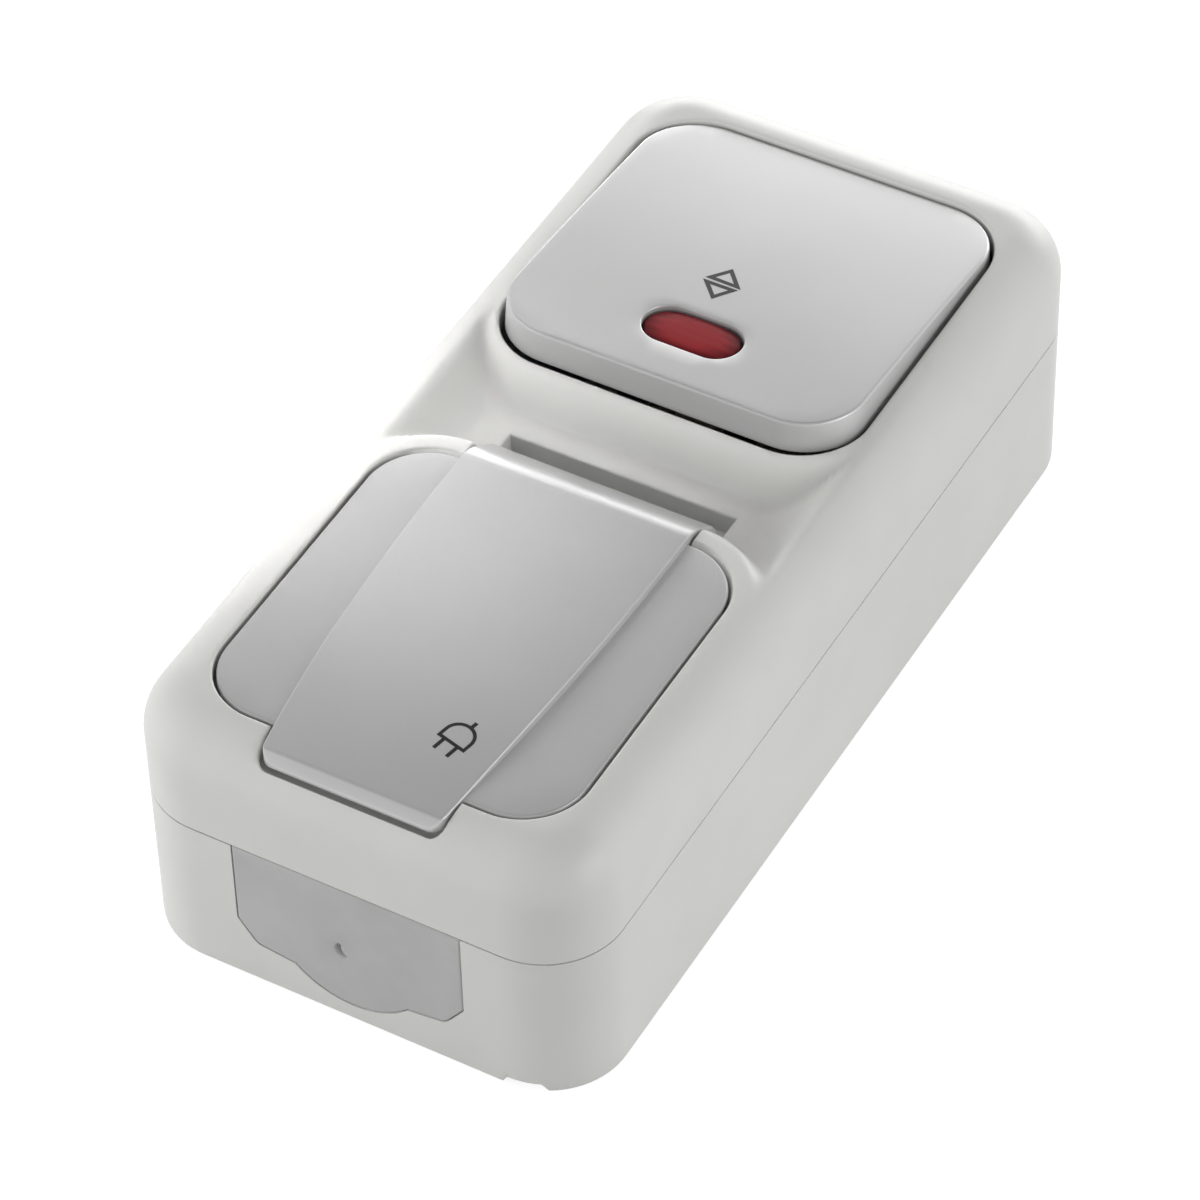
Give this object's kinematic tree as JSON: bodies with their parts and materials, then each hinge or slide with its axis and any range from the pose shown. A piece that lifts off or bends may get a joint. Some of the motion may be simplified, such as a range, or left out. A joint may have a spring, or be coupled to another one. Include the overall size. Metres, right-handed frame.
{
  "type": "weatherproof switch and socket unit",
  "caption": "Grey surface-mounted weatherproof unit with a lit two-way rocker switch above an earthed socket outlet under a sprung hinged lid, with a rubber cable entry.",
  "frame": {"origin": "centre of the flat back face that lies on the wall", "axes": "+Z out of the wall, +Y up the wall towards the rocker, +X to the right seen from the front"},
  "size_m": [0.07, 0.1476, 0.048],
  "materials": {
    "housing_plastic": "light grey moulded, fine satin texture",
    "key_plastic": "grey moulded, satin",
    "socket_plastic": "grey moulded, satin",
    "insulator_plastic": "dark moulded insulator",
    "seal_rubber": "soft foam",
    "grommet_rubber": "grey moulded rubber",
    "lens_red": "translucent red",
    "zinc_steel": "zinc plated",
    "spring_steel": "bright drawn",
    "contact_brass": "stamped brass",
    "lamp_glass": "clear glow-lamp glass"
  },
  "bodies": {
    "housing": {"base_box": "housing_plastic", "front_cover": "housing_plastic", "perimeter_gasket": "seal_rubber", "cable_grommet": "grommet_rubber", "cover_screws": "zinc_steel", "lid_hinge_pin": "zinc_steel", "lid_spring": "spring_steel", "socket_insert": "socket_plastic", "socket_base": "insulator_plastic", "pin_contact_left": "contact_brass", "pin_contact_right": "contact_brass", "earth_strap": "spring_steel", "socket_terminal_screws": "zinc_steel", "socket_centre_screw": "zinc_steel", "switch_body": "insulator_plastic", "common_terminal": "contact_brass", "traveller_terminal_lower": "contact_brass", "traveller_terminal_upper": "contact_brass", "switch_terminal_screws": "zinc_steel", "mechanism_screws": "zinc_steel", "indicator_lamp": "lamp_glass", "lamp_holder": "insulator_plastic"},
    "lid": {"socket_lid": "key_plastic", "lid_gasket": "seal_rubber"},
    "rocker": {"rocker_cap": "key_plastic", "indicator_lens": "lens_red", "rocker_carrier": "insulator_plastic", "plunger_spring": "spring_steel"},
    "plunger": {"switch_plunger": "insulator_plastic"},
    "seesaw": {"contact_seesaw": "contact_brass"}
  },
  "joints": [
    {"name": "lid_hinge", "type": "hinge", "parent": "housing", "child": "lid", "pos_m": [0, -0.007, 0.0378], "axis": [-1, 0, 0], "range_deg": [0, 105], "stiffness_Nm_per_rad": 0.01, "springref_deg": -34.38},
    {"name": "rocker_hinge", "type": "hinge", "parent": "housing", "child": "rocker", "pos_m": [0, 0.03695, 0.038], "axis": [1, 0, 0], "range_deg": [0, 10]},
    {"name": "plunger_slide", "type": "slide", "parent": "rocker", "child": "plunger", "axis": [0, 0.0872, 0.9962], "range_m": [0, 0.0008], "stiffness_N_per_m": 500, "springref_m": -0.0008, "deforming": ["plunger_spring"]},
    {"name": "seesaw_hinge", "type": "hinge", "parent": "housing", "child": "seesaw", "pos_m": [0, 0.03695, 0.02], "axis": [1, 0, 0], "range_deg": [-12, 0]}
  ],
  "couplings": [
    {"joint": "seesaw_hinge", "follows": "rocker_hinge", "ratio": -1.2}
  ]
}
